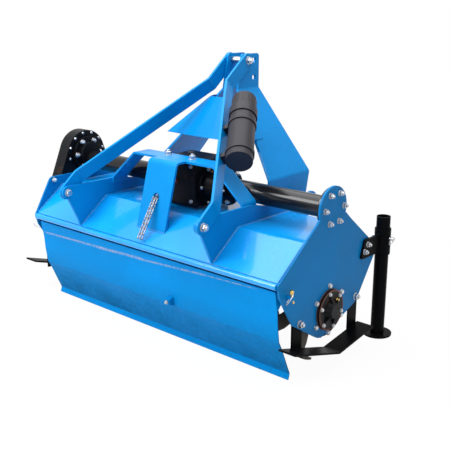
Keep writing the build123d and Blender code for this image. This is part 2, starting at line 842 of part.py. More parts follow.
def stand_sleeve():
    """The right stand's sleeve and the plate that bolts it to the machine's side."""
    sleeve_inner = stand_leg_radius + stand_sleeve_gap
    sleeve_outer = sleeve_inner + stand_sleeve_wall
    height = stand_sleeve_high_z - stand_sleeve_low_z
    seat = Pos(stand_x, stand_y, stand_sleeve_low_z)
    rear_y = plate_front_y - stand_bracket_lap
    low_z, high_z = plate_front_z - stand_bracket_drop, plate_front_z + stand_bracket_rise
    plate = outline([
        (rear_y, low_z, stand_bracket_corner),
        (stand_y, low_z, 0),
        (stand_y, high_z, 0),
        (rear_y + stand_bracket_rake, high_z, stand_bracket_corner),
    ])
    bracket = across(plate, plate_outer, plate_outer + stand_bracket_thickness)
    body = bracket + seat * extrude(Circle(sleeve_outer), amount=height)
    return body - seat * extrude(Circle(sleeve_inner), amount=height)


def stand_leg():
    """The right stand's tube and its round foot, open at the top."""
    seat = Pos(stand_x, stand_y, 0)
    leg = extrude(Circle(stand_leg_radius), amount=stand_leg_top_z)
    bore_length = stand_leg_top_z - stand_foot_thickness
    bore = extrude(Circle(stand_leg_radius - stand_leg_wall), amount=bore_length)
    foot = extrude(Circle(stand_foot_radius), amount=stand_foot_thickness)
    return seat * (leg - Pos(0, 0, stand_foot_thickness) * bore + foot)


slant_run = strut_length - strut_high_bend - strut_low_bend
slant_rise = strut_low_x - mast_outer
slant = atan2(slant_rise, slant_run)


def document_plane(along):
    """A plane across the document tube, at a distance from the strut's low bend."""
    bend = strut_plane.from_local_coords((strut_low_bend, -strut_low_x, 0))
    rise = Vector(0, cos(strut_slope), sin(strut_slope))
    side = Vector(1, 0, 0)
    heading = rise * cos(slant) - side * sin(slant)
    out = side * cos(slant) + rise * sin(slant)
    shift = strut_thickness + document_standoff + document_radius
    return Plane(origin=bend + heading * along + out * shift, x_dir=out, z_dir=heading)


def document_tube():
    """The tube for papers, closed at its lower end and open under its cap."""
    base = document_plane(document_start)
    length = document_length + document_lip
    body = extrude(base * Circle(document_radius), amount=length)
    bore = base.offset(document_wall) * Circle(document_radius - document_wall)
    return body - extrude(bore, amount=length)


def document_cap():
    """The hollow cap, whose collar slides over the tube's upper end."""
    base = document_plane(document_start + document_length)
    crown = base.offset(document_collar_length)
    crown_length = document_cap_length - document_collar_length
    cap = extrude(base * Circle(document_collar_radius), amount=document_collar_length)
    grip = Circle(document_cap_radius)
    cap += extrude(crown * grip, amount=crown_length)
    bar = Pos(document_cap_radius, 0) * Rectangle(2 * document_grip_height, document_grip_width)
    for i in range(document_grip_count):
        grip += Rot(0, 0, i * 360 / document_grip_count) * bar
    cap += extrude(crown * grip, amount=crown_length - document_grip_stop)
    skirt = document_collar_length - document_wall
    cap -= extrude(base * Circle(document_radius + document_fit), amount=skirt)
    inner = base * Circle(document_cap_radius - document_wall)
    return cap - extrude(inner, amount=document_cap_length - document_wall)


def document_bracket():
    """The two clamps that hold the document tube on the strut."""
    clamps = Part()
    for along in document_clamp_places:
        base = document_plane(document_start + along)
        foot_seat = Pos(-document_radius - document_standoff / 2, 0)
        foot = foot_seat * Rectangle(document_standoff, document_foot_width)
        ring = foot + Circle(document_radius + document_clamp_wall) - Circle(document_radius)
        clamps += extrude(base * ring, amount=document_clamp_width)
    return clamps


def chain_link(length):
    """One link, lying flat with its length along X."""
    rims = []
    for half in (chain_inner_width / 2 + chain_wire, chain_inner_width / 2):
        reach = length / 2 - chain_inner_width / 2
        side = [(reach + half * cos(radians(a)), half * sin(radians(a))) for a in chain_round]
        rims.append(make_face(Polyline(*side, *[(-x, -y) for x, y in side], close=True)))
    link = extrude(rims[0] - rims[1], amount=chain_wire / 2, both=True)
    level = link.faces().sort_by(Axis.Z)
    return chamfer(level[0].edges() + level[-1].edges(), chain_chamfer)


def tailgate_chain():
    """Two strands of chain: the first links lie in the strap's hole and the others hang from them."""
    down = (-cos(strap_lean), -sin(strap_lean))
    edge_x = chain_spread + chain_wire / 2
    drop = (strap_hole_radius ** 2 - edge_x ** 2) ** 0.5
    drop -= chain_inner_width / 2 + chain_wire + chain_seat
    inset = -saddle_thickness / 2
    first = [
        at + inset * out + drop * low
        for at, out, low in zip((strap_hole_y, strap_hole_z), strap_out, down)
    ]
    hang_guess = hypot(chain_end_y - first[0], chain_end_z - first[1])
    length = (hang_guess - 1.5 * chain_wire) / (chain_links - 1) - chain_slack
    reach = length / 2 - chain_wire / 2 - chain_slack
    top = [at + reach * out for at, out in zip(first, strap_out)]
    along = unit(chain_end_y - top[0], chain_end_z - top[1])
    links = []
    for x in (strap_x - chain_spread, strap_x + chain_spread):
        seat = Plane(origin=(x, *first), x_dir=(0, *strap_out), z_dir=(1, 0, 0))
        links.append(seat.location * chain_link(length))
        for i in range(chain_links - 1):
            far = length / 2 + chain_wire / 2 + i * (length - chain_slack)
            middle = (x, top[0] + far * along[0], top[1] + far * along[1])
            facing = (0, -along[1], along[0]) if i % 2 == 0 else (1, 0, 0)
            seat = Plane(origin=middle, x_dir=(0, *along), z_dir=facing)
            links.append(seat.location * chain_link(length))
    return Compound(children=links)


def pto_guard():
    """The folded sheet over the driveline, between the two halves of the mast."""
    low = guard_section(guard_low_z, guard_low_y, guard_low_half, guard_low_outer, guard_low_inner)
    high_z = mast_fold_z - guard_high_drop
    high = guard_section(high_z, guard_high_y, guard_high_half, guard_high_outer, guard_high_inner)
    return loft([low, high], ruled=True)


def guard_section(z, y, half, outer_fold, inner_fold):
    """The guard's level section at one height, with its cheeks forward to the mast's legs."""
    share = (mast_fold_z - z) / (mast_fold_z - leg_fold_z)
    spread = atan2(leg_foot_x - mast_inner, mast_fold_z - leg_fold_z)
    leg_x = mast_inner + share * (leg_foot_x - mast_inner) + leg_thickness / cos(spread) + guard_fit
    leg_y = mast_rear_y - share * (mast_rear_y - leg_foot_rear_y)
    steps = guard_fold_steps
    right = [
        (inner_fold, y),
        (outer_fold, y + steps[0]),
        (half, y + steps[1]),
        (leg_x, leg_y - guard_wrap),
        (leg_x, leg_y + guard_lap),
    ]
    path = right[::-1] + [(-x, v) for x, v in right]
    return Plane.XY.offset(z) * strip_sharp(path, guard_thickness)


def strip_sharp(path, thickness):
    """The section of a folded sheet with sharp folds, on the left of its path."""
    left, _ = left_side(path, thickness)
    return make_face(Polyline(*path, *left[::-1], close=True))


nodes = {
    "side_plate_right": side_plate_right(),
    "side_plate_left": side_plate_left(),
    "rotor_hood": rotor_hood(),
    "hinge_rod": hinge_rod(),
    "front_beam": front_beam(),
    "rib_right": rib(rib_x),
    "rib_left": mirrored(rib(rib_x)),
    "mast_leg_right": mast_leg(),
    "mast_leg_left": mirrored(mast_leg()),
    "top_link_spacer": top_link_spacer(),
    "strut_right": strut(),
    "strut_left": mirrored(strut()),
    "gearbox_housing": gearbox_housing(),
    "gearbox_side_cover_right": gearbox_side_cover(),
    "gearbox_side_cover_left": mirrored(gearbox_side_cover()),
    "gearbox_breather": gearbox_breather(),
    "pto_shaft": pto_shaft(),
    "cross_tube_right": cross_tube(plate_inner, lobe_radius - lobe_margin),
    "cross_tube_left": mirrored(cross_tube(plate_outer - case_flange_length, 0)),
    "gearbox_saddle": gearbox_saddle(),
    "saddle_strap": saddle_strap(),
    "gear_case": gear_case(),
    "gear_case_cover": gear_case_cover(),
    "tube_flange_left": tube_flange_left(),
    "rotor_hub_right": rotor_hub(hub_depth),
    "rotor_hub_left": mirrored(rotor_hub(0)),
    "rotor_shaft": rotor_shaft(),
    "rotor_tines": rotor_tines(),
    "tailgate_panel": tailgate_panel(),
    "tailgate_ear_right": tailgate_ear(tailgate_half),
    "tailgate_ear_left": mirrored(tailgate_ear(tailgate_half)),
    "tailgate_bracket": tailgate_bracket(),
    "skid_right": skid(plate_inner - skid_thickness, 0),
    "skid_left": mirrored(skid(plate_outer + left_skid_gap, left_skid_gap)),
    "stand_sleeve_right": stand_sleeve(),
    "stand_sleeve_left": mirrored(stand_sleeve()),
    "stand_leg_right": stand_leg(),
    "stand_leg_left": mirrored(stand_leg()),
    "document_tube": document_tube(),
    "document_cap": document_cap(),
    "document_bracket": document_bracket(),
    "pto_guard": pto_guard(),
    "tailgate_chain": tailgate_chain(),
}

os.makedirs("parts", exist_ok=True)
to_origin = Pos(0, -pto_shaft_end_y, -pto_axis_z)
for name, shape in nodes.items():
    export_step(to_origin * shape, f"parts/{name}.step")
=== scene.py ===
from math import cos, pi, radians, sin, sqrt

import bmesh
import bpy
from mathutils import Matrix, Vector


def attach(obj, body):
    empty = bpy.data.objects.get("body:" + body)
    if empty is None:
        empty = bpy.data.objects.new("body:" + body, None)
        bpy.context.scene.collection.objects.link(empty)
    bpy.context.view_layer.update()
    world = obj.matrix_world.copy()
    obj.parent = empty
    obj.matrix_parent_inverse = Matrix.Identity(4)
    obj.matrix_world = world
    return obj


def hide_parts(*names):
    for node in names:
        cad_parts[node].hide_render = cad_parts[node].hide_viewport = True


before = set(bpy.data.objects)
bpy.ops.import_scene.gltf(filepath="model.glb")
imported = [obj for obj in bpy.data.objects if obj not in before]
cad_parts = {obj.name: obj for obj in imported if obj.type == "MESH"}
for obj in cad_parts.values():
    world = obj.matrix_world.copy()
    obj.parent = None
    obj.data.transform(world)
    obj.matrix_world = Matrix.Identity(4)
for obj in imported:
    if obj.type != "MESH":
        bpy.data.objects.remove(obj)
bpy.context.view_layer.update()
print("frame loaded:", len(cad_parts), "nodes")

# Places are written in mm from the rotor axis and the ground, as the solids are drawn
drawnOrigin = Vector((0, 236, 660))
mm = 0.001
sharpAngle = radians(32)
mergeDistance = 1e-6
toRight, toLeft, toRear, toTop = (1, 0, 0), (-1, 0, 0), (0, -1, 0), (0, 0, 1)

# Faces and centres of the solids that the small pieces sit on
plateOuter = 760.0
plateInner = 750.0
rotorZ = 236.5
tubeY, tubeZ = 8.0, 660.0
caseY, caseTopZ = -3.0, 692.0
ribX, ribThickness = 408.0, 12.0
legFootX, legThickness = 344.0, 12.0
gearboxRear = -96.0
hoodLine = [(-331, 441.5), (-210, 531), (-172, 558), (165, 558), (285, 462), (329, 397)]


def place(x, y, z):
    return (Vector((x, y, z)) - drawnOrigin) * mm


def join(bm, part):
    # operators slow down as a mesh grows, so each shape is made alone and joined here
    mesh = bpy.data.meshes.new("part")
    part.to_mesh(mesh)
    part.free()
    bm.from_mesh(mesh)
    bpy.data.meshes.remove(mesh)


def lathe(bm, at, axis, profile, segments=24, turn=0.0):
    # profile holds (along, radius) in mm, and is spun about the axis
    axis = Vector(axis).normalized()
    side = Matrix.Rotation(turn, 3, axis) @ axis.orthogonal().normalized()
    part = bmesh.new()
    section = [part.verts.new(at + (axis * along + side * radius) * mm) for along, radius in profile]
    edges = [part.edges.new(pair) for pair in zip(section, section[1:])]
    bmesh.ops.spin(part, geom=section + edges, cent=at, axis=axis, angle=2 * pi, steps=segments, use_merge=True)
    join(bm, part)


def facing(point, heading, normal):
    # frame of a circle here, looking along the heading and starting at the normal
    turned = Matrix((normal.cross(heading), normal, heading)).transposed()
    return Matrix.Translation(point) @ turned.to_4x4()


def sweep(bm, points, radii, segments=8):
    # a round bar along the points, made of circles bridged one to the next
    part = bmesh.new()
    normal = None
    before = []
    for i, point in enumerate(points):
        last = i == len(points) - 1
        heading = (points[i if last else i + 1] - points[max(i - 1, 0)]).normalized()
        normal = heading.orthogonal() if normal is None else normal - heading * normal.dot(heading)
        normal.normalize()
        ring = bmesh.ops.create_circle(part, cap_ends=last or i == 0, radius=radii[i % len(radii)] * mm,
                                       segments=segments, matrix=facing(point, heading, normal))["verts"]
        edges = list({edge for vert in ring for edge in vert.link_edges})
        if before:
            bmesh.ops.bridge_loops(part, edges=before + edges)
        before = edges
    join(bm, part)


def resampled(points, step):
    # evenly spaced points along a polyline, with the step in mm
    out = [points[0]]
    for a, b in zip(points, points[1:]):
        parts = max(1, round((b - a).length / mm / step))
        out += [a.lerp(b, (i + 1) / parts) for i in range(parts)]
    return out


def wireRing(bm, middle, across, up, radius, wire, segments=32):
    # a wire circle spun about the ring's own axis
    across = Vector(across).normalized()
    axis = across.cross(Vector(up)).normalized()
    heading = axis.cross(across)
    start = facing(middle + across * radius * mm, heading, heading.orthogonal().normalized())
    part = bmesh.new()
    ring = bmesh.ops.create_circle(part, cap_ends=False, radius=wire * mm, segments=8, matrix=start)["verts"]
    edges = list({edge for vert in ring for edge in vert.link_edges})
    bmesh.ops.spin(part, geom=ring + edges, cent=middle, axis=axis, angle=2 * pi, steps=segments, use_merge=True)
    join(bm, part)


# Shares are of the width across flats, the rest is in mm
boltShape = {"washer": 0.66, "washerHeight": 2.4, "seatDepth": 0.4, "headHeight": 0.4, "nutHeight": 0.56,
             "hexTurn": radians(12), "studRadius": 0.31, "studLength": 7.0, "studChamfer": 1.2,
             "headDimple": 0.6, "dimpleHeight": 0.4}


def bolt(bm, at, axis, flats, kind):
    shape = boltShape
    corner = flats / sqrt(3)
    disc = shape["washer"] * flats
    top = shape["washerHeight"]
    seat = -shape["seatDepth"]
    lathe(bm, at, axis, [(seat, 0), (seat, disc), (top - 0.5, disc), (top, disc - 0.5), (top, 0)])
    high = top + shape[kind + "Height"] * flats
    hexagon = [(top, 0), (top, corner * 0.95), (top + 0.8, corner),
               (high - 1.4, corner), (high, corner * 0.86), (high, 0)]
    lathe(bm, at, axis, hexagon, 6, shape["hexTurn"])
    if kind == "nut":
        stud = shape["studRadius"] * flats
        end = high + shape["studLength"]
        chamfer = shape["studChamfer"]
        lathe(bm, at, axis, [(high, 0), (high, stud), (end - chamfer, stud), (end, stud - chamfer), (end, 0)], 16)
    else:
        dimple = shape["headDimple"] * corner
        end = high + shape["dimpleHeight"]
        lathe(bm, at, axis, [(high, 0), (high, dimple), (end, dimple - 0.04 * corner), (end, 0)], 16)


def bolts(bm, places):
    for x, y, z, axis, flats, kind in places:
        bolt(bm, place(x, y, z), axis, flats, kind)


def around(x, y, z, radius, angles, axis, flats, kind):
    # bolts at these angles of a circle about X
    return [(x, y + radius * cos(radians(a)), z + radius * sin(radians(a)), axis, flats, kind) for a in angles]


def circleOf(x, y, z, radius, count, start, axis, flats, kind):
    return around(x, y, z, radius, [start + 360 * i / count for i in range(count)], axis, flats, kind)


def bothSides(places):
    return places + [(-x, y, z, (-a[0], a[1], a[2]), f, k) for x, y, z, a, f, k in places]


# Node helpers for the finishes
def fill(tree, node, sockets):
    for key, value in dict(sockets).items():
        if isinstance(value, bpy.types.NodeSocket):
            tree.links.new(value, node.inputs[key])
        elif isinstance(value, tuple) and node.inputs[key].type == "RGBA" and len(value) == 3:
            node.inputs[key].default_value = (*value, 1.0)
        else:
            node.inputs[key].default_value = value
    return node


def add(tree, kind, sockets=(), **settings):
    node = tree.nodes.new("ShaderNode" + kind)
    for key, value in settings.items():
        setattr(node, key, value)
    return fill(tree, node, sockets)


def noise(tree, where, scale, detail=3.0, rough=0.55):
    return add(tree, "TexNoise", {"Vector": where, "Scale": scale, "Detail": detail, "Roughness": rough}).outputs[0]


def span(tree, value, low, high, start=0.0, end=1.0):
    return add(tree, "MapRange", {"Value": value, "From Min": low, "From Max": high, "To Min": start, "To Max": end},
               interpolation_type="SMOOTHSTEP").outputs[0]


def calc(tree, operation, a, b, **settings):
    return add(tree, "Math", {0: a, 1: b}, operation=operation, **settings).outputs[0]


def times(tree, a, b):
    return calc(tree, "MULTIPLY", a, b)


def blend(tree, share, a, b):
    return add(tree, "Mix", {0: share, 6: a, 7: b}, data_type="RGBA").outputs[2]


def brighter(tree, color, share):
    # scaled, and never over white
    color = add(tree, "VectorMath", {0: color, "Scale": share}, operation="SCALE").outputs[0]
    return add(tree, "VectorMath", {0: color, 1: (1.0, 1.0, 1.0)}, operation="MINIMUM").outputs[0]


def scaled(color, share):
    return tuple(min(1.0, c * share) for c in color)


def newGroup(name, inputs, outputs):
    # returns the group, what comes in and what it puts out
    kinds = {"color": "NodeSocketColor", "value": "NodeSocketFloat", "normal": "NodeSocketVector"}
    group = bpy.data.node_groups.new(name, "ShaderNodeTree")
    for side, sockets in (("INPUT", inputs), ("OUTPUT", outputs)):
        for label, kind in sockets.items():
            group.interface.new_socket(name=label, in_out=side, socket_type=kinds[kind])
    return group, group.nodes.new("NodeGroupInput").outputs, group.nodes.new("NodeGroupOutput")


def use(tree, group, values):
    node = tree.nodes.new("ShaderNodeGroup")
    node.node_tree = group
    return fill(tree, node, values).outputs


def makeMottle():
    # broad and fine colour variation, with the noises that the other effects share
    tree, given, out = newGroup(
        "mottle", {"Color": "color", "Tint": "value", "Cloud Scale": "value", "Grain Scale": "value"},
        {"Color": "color", "Cloud": "value", "Fleck": "value", "Grain": "value"})
    where = add(tree, "TexCoord").outputs["Object"]
    cloud = noise(tree, where, given["Cloud Scale"], 5)
    fleck = noise(tree, where, 46.0, 6, 0.65)
    paint, tint = given["Color"], given["Tint"]
    color = blend(tree, span(tree, cloud, 0.32, 0.68), brighter(tree, paint, calc(tree, "SUBTRACT", 1.0, tint)),
                  brighter(tree, paint, calc(tree, "ADD", 1.0, tint)))
    color = blend(tree, span(tree, fleck, 0.3, 0.8, 0.0, tint), color, brighter(tree, paint, 0.6))
    fill(tree, out, {"Color": color, "Cloud": cloud, "Fleck": fleck,
                     "Grain": noise(tree, where, given["Grain Scale"], 4)})
    return tree


def makeScratches():
    # hairlines where a stretched noise crosses its middle value
    tree, given, out = newGroup(
        "hairScratches", {"Color": "color", "Paint": "color", "Fleck": "value", "Grain": "value", "Amount": "value"},
        {"Color": "color", "Height": "value"})
    where = add(tree, "TexCoord").outputs["Object"]
    drawn = add(tree, "Mapping", {"Vector": where, "Rotation": (0.4, 0.3, 0.5), "Scale": (1.5, 30.0, 9.0)}).outputs[0]
    crossing = calc(tree, "SUBTRACT", noise(tree, drawn, 4.0, 2), 0.5)
    crossing = calc(tree, "ABSOLUTE", crossing, 0.0)
    hair = times(tree, span(tree, crossing, 0.006, 0.0), span(tree, given["Fleck"], 0.5, 0.62, 0.0, given["Amount"]))
    fill(tree, out, {"Color": blend(tree, hair, given["Color"], brighter(tree, given["Paint"], 1.9)),
                     "Height": calc(tree, "ADD", given["Grain"], times(tree, hair, -1.5))})
    return tree


def makeEdgeWear():
    # paint gone where the rounded normal leaves the flat one
    tree, given, out = newGroup(
        "edgeWear", {"Color": "color", "Bare": "color", "Rounded": "normal", "Fleck": "value", "Amount": "value"},
        {"Color": "color", "Worn": "value"})
    facing = add(tree, "NewGeometry").outputs["Normal"]
    same = add(tree, "VectorMath", {0: given["Rounded"], 1: facing}, operation="DOT_PRODUCT").outputs["Value"]
    worn = times(tree, span(tree, same, 0.97, 0.86), span(tree, given["Fleck"], 0.5, 0.6, 0.0, given["Amount"]))
    fill(tree, out, {"Color": blend(tree, worn, given["Color"], given["Bare"]), "Worn": worn})
    return tree


def makeRust():
    tree, given, out = newGroup(
        "rustSpots", {"Color": "color", "Fleck": "value", "Amount": "value"}, {"Color": "color"})
    where = add(tree, "TexCoord").outputs["Object"]
    rusty = times(tree, span(tree, noise(tree, where, 17.0, 6, 0.7), 0.54, 0.68, 0.0, given["Amount"]),
                  span(tree, given["Fleck"], 0.35, 0.6))
    fill(tree, out, {"Color": blend(tree, rusty, given["Color"], (0.20, 0.075, 0.03))})
    return tree


def makeDust():
    # thicker downwards from Top, and none under End
    tree, given, out = newGroup(
        "settledDust", {"Color": "color", "Dust Color": "color", "Cloud": "value", "Fleck": "value",
                        "Amount": "value", "Top": "value", "End": "value"},
        {"Color": "color", "Dust": "value", "Low": "value"})
    height = add(tree, "SeparateXYZ", {0: add(tree, "TexCoord").outputs["Object"]}).outputs[2]
    low = span(tree, height, given["Top"], calc(tree, "SUBTRACT", given["Top"], 0.26))
    thin = times(tree, given["Amount"], 0.35)
    dust = times(tree, low, span(tree, given["Cloud"], 0.3, 0.7, thin, given["Amount"]))
    dust = times(tree, dust, span(tree, given["Fleck"], 0.2, 0.7, 0.5, 1.0))
    dust = times(tree, dust, span(tree, height, calc(tree, "SUBTRACT", given["End"], 0.003),
                                  calc(tree, "ADD", given["End"], 0.003)))
    fill(tree, out, {"Color": blend(tree, dust, given["Color"], given["Dust Color"]), "Dust": dust, "Low": low})
    return tree


def makeRub():
    # a long rub, drawn as a line across the sheet in X and Z
    tree, given, out = newGroup(
        "rubMark", {"Color": "color", "Start": "value", "End": "value", "Slope": "value", "Middle Height": "value",
                    "Half Width": "value"}, {"Color": "color"})
    where = add(tree, "TexCoord").outputs["Object"]
    parts = add(tree, "SeparateXYZ", {0: where})
    line = add(tree, "Math", {0: parts.outputs[0], 1: given["Slope"], 2: given["Middle Height"]},
               operation="MULTIPLY_ADD").outputs[0]
    off = calc(tree, "ABSOLUTE", calc(tree, "SUBTRACT", parts.outputs[2], line), 0.0)
    tail = span(tree, parts.outputs[0], given["End"], calc(tree, "SUBTRACT", given["End"], 0.05))
    head = span(tree, parts.outputs[0], given["Start"], calc(tree, "ADD", given["Start"], 0.05))
    soft = times(tree, given["Half Width"], 0.3)
    rub = times(tree, span(tree, off, given["Half Width"], soft), times(tree, tail, head))
    rub = times(tree, rub, span(tree, noise(tree, where, 90.0, 4), 0.36, 0.6, 0.1, 0.6))
    fill(tree, out, {"Color": blend(tree, rub, given["Color"], (0.42, 0.38, 0.42))})
    return tree


def makeRoughness():
    # duller under dust and on worn edges
    tree, given, out = newGroup(
        "wornRoughness", {"Roughness": "value", "Cloud": "value", "Dust": "value", "Worn": "value"},
        {"Roughness": "value"})
    smooth = span(tree, given["Cloud"], 0.3, 0.7, times(tree, given["Roughness"], 0.85),
                  times(tree, given["Roughness"], 1.2))
    dulled = calc(tree, "ADD", times(tree, given["Dust"], 0.55), smooth)
    fill(tree, out, {"Roughness": calc(tree, "ADD", dulled, times(tree, given["Worn"], 0.3), use_clamp=True)})
    return tree


mottle, hairScratches, edgeWear, rustSpots = makeMottle(), makeScratches(), makeEdgeWear(), makeRust()
settledDust, rubMark, wornRoughness = makeDust(), makeRub(), makeRoughness()

plain = {
    "metal": 0.0, "coat": 0.0, "coatRough": 0.1, "specular": 0.5, "tint": 0.07, "cloud": 3.0,
    "grain": 420.0, "relief": 0.12, "depth": 0.0004, "edge": 0.0022, "wear": 0.25, "bare": (0.16, 0.17, 0.19),
    "dust": 0.0, "dustTop": -0.3, "dustColor": (0.30, 0.27, 0.22), "dustEnd": -1.0, "speck": 0.0, "rust": 0.0,
    "hair": 0.15, "rubs": [],
}


def finish(name, look):
    look = {**plain, **look}
    mat = bpy.data.materials.new(name)
    mat.use_nodes = True
    tree = mat.node_tree
    shader = tree.nodes["Principled BSDF"]
    rounded = add(tree, "Bevel", {"Radius": look["edge"]}, samples=6).outputs[0]
    base = use(tree, mottle, {"Color": look["color"], "Tint": look["tint"], "Cloud Scale": look["cloud"],
                              "Grain Scale": look["grain"]})
    drawn = use(tree, hairScratches, {"Color": base["Color"], "Paint": look["color"], "Fleck": base["Fleck"],
                                      "Grain": base["Grain"], "Amount": look["hair"]})
    edges = use(tree, edgeWear, {"Color": drawn["Color"], "Bare": look["bare"], "Rounded": rounded,
                                 "Fleck": base["Fleck"], "Amount": look["wear"]})
    color = edges["Color"]
    if look["rust"]:
        color = use(tree, rustSpots, {"Color": color, "Fleck": base["Fleck"], "Amount": look["rust"]})["Color"]
    dusted = use(tree, settledDust, {"Color": color, "Dust Color": look["dustColor"], "Cloud": base["Cloud"],
                                     "Fleck": base["Fleck"], "Amount": look["dust"], "Top": look["dustTop"],
                                     "End": look["dustEnd"]})
    color = dusted["Color"]
    if look["speck"]:
        fine = noise(tree, add(tree, "TexCoord").outputs["Object"], 150.0, 5, 0.7)
        specks = times(tree, span(tree, fine, 0.56, 0.66, 0.0, look["speck"]), dusted["Low"])
        color = blend(tree, specks, color, (0.03, 0.06, 0.085))
    for x0, z0, x1, z1, half in look["rubs"]:
        slope = (z1 - z0) / (x1 - x0)
        color = use(tree, rubMark, {"Color": color, "Start": x0, "End": x1, "Slope": slope,
                                    "Middle Height": z0 - slope * x0, "Half Width": half})["Color"]
    dulled = use(tree, wornRoughness, {"Roughness": look["rough"], "Cloud": base["Cloud"], "Dust": dusted["Dust"],
                                       "Worn": edges["Worn"]})
    bump = add(tree, "Bump", {"Strength": look["relief"], "Distance": look["depth"], "Height": drawn["Height"],
                              "Normal": rounded}).outputs[0]
    fill(tree, shader, {"Base Color": color, "Roughness": dulled["Roughness"], "Normal": bump,
                        "Coat Normal": rounded, "Metallic": look["metal"], "Specular IOR Level": look["specular"],
                        "Coat Weight": look["coat"], "Coat Roughness": look["coatRough"]})
    return mat


blue = (0.0005, 0.25, 0.66)
black = (0.0055, 0.0058, 0.0075)
looks = {
    # painted light: the hood's blue is the paint made lighter (1.16 against 0.9 for the frame and tailgate), standing
    # in for the stronger light on its top
    "hoodBlueLit": {"color": scaled(blue, 1.16), "rough": 0.26, "coat": 0.5, "coatRough": 0.06, "specular": 0.3,
                 "relief": 0.05, "grain": 260.0, "dust": 0.04, "dustTop": -0.1, "hair": 0.06},
    # painted shade: the side plates' blue is the paint made darker (0.66 against 0.9 for the frame and tailgate),
    # standing in for the shade on their sides
    "plateBlueShaded": {"color": scaled(blue, 0.66), "rough": 0.34, "coat": 0.02, "specular": 0.07, "relief": 0.07,
                  "grain": 260.0, "dust": 0.14, "dustTop": -0.36, "hair": 0.06, "dustColor": (0.08, 0.10, 0.12)},
    "frameBlue": {"color": scaled(blue, 0.9), "rough": 0.28, "coat": 0.08, "specular": 0.08, "relief": 0.06,
                  "grain": 260.0, "dust": 0.02, "dustTop": -0.15, "hair": 0.03, "tint": 0.05},
    # here the dust colour and the specks are a dark blue, so the sheet turns a darker blue towards the bottom
    "tailgateBlue": {"color": scaled(blue, 0.9), "rough": 0.36, "coat": 0.0, "specular": 0.03, "relief": 0.06,
                     "grain": 240.0, "dust": 0.82, "dustTop": -0.35, "hair": 0.1, "dustColor": (0.006, 0.078, 0.16),
                     "speck": 0.8, "dustEnd": -0.634,
                     "rubs": [(-0.735, -0.319, -0.24, -0.304, 0.007), (-0.34, -0.31, 0.02, -0.296, 0.009),
                              (-0.06, -0.303, 0.4, -0.279, 0.006), (0.36, -0.281, 0.66, -0.27, 0.003)]},
    "blackPaint": {"color": scaled(black, 0.5), "rough": 0.34, "specular": 0.03, "relief": 0.08, "grain": 240.0,
                   "dust": 0.04, "dustTop": -0.5, "dustColor": (0.05, 0.045, 0.04), "wear": 0.15, "hair": 0.05},
    "tubeBlack": {"color": black, "rough": 0.2, "coat": 0.15, "coatRough": 0.08, "specular": 0.25, "relief": 0.06,
                  "grain": 240.0, "wear": 0.15, "hair": 0.05},
    "castBlack": {"color": (0.003, 0.0036, 0.005), "rough": 0.36, "specular": 0.12, "relief": 0.55, "grain": 520.0,
                  "depth": 0.0008, "rust": 0.12, "edge": 0.003, "wear": 0.3, "bare": (0.09, 0.09, 0.1)},
    "zinc": {"color": (0.56, 0.57, 0.59), "rough": 0.32, "metal": 1.0, "relief": 0.1, "grain": 900.0, "cloud": 24.0,
             "tint": 0.14, "wear": 0.0, "edge": 0.0006, "rust": 0.06},
    "chainZinc": {"color": (0.36, 0.36, 0.38), "rough": 0.28, "metal": 1.0, "relief": 0.1, "grain": 900.0,
                  "cloud": 90.0, "tint": 0.45, "wear": 0.0, "edge": 0.0006, "rust": 0.2},
    "brass": {"color": (0.72, 0.50, 0.16), "rough": 0.24, "metal": 1.0, "relief": 0.08, "grain": 800.0, "cloud": 30.0,
              "tint": 0.12, "wear": 0.0, "edge": 0.0006},
    "shaftSteel": {"color": (0.42, 0.42, 0.44), "rough": 0.3, "metal": 1.0, "relief": 0.1, "grain": 700.0,
                   "cloud": 14.0, "tint": 0.16, "wear": 0.0, "rust": 0.1},
    "plastic": {"color": (0.012, 0.011, 0.017), "rough": 0.42, "specular": 0.28, "relief": 0.3, "grain": 1400.0,
                "depth": 0.0003, "wear": 0.12, "bare": (0.05, 0.05, 0.055)},
    "tineSteel": {"color": (0.035, 0.034, 0.035), "rough": 0.5, "relief": 0.4, "grain": 320.0, "depth": 0.0008,
                  "rust": 0.5, "dust": 0.75, "dustTop": -0.2, "dustColor": (0.13, 0.09, 0.06), "wear": 0.8},
    "plug": {"color": (0.35, 0.05, 0.035), "rough": 0.45, "relief": 0.2, "grain": 900.0, "wear": 0.2,
             "edge": 0.0006},
    "seal": {"color": (0.13, 0.052, 0.035), "rough": 0.5, "specular": 0.2, "relief": 0.3, "grain": 600.0,
             "cloud": 20.0, "tint": 0.3, "wear": 0.1, "edge": 0.0006},
    "weldPaint": {"color": scaled(blue, 0.9), "rough": 0.32, "coat": 0.5, "relief": 0.3, "grain": 500.0,
                  "wear": 0.35},
}
finishes = {name: finish(name, look) for name, look in looks.items()}
print("finishes:", len(finishes))

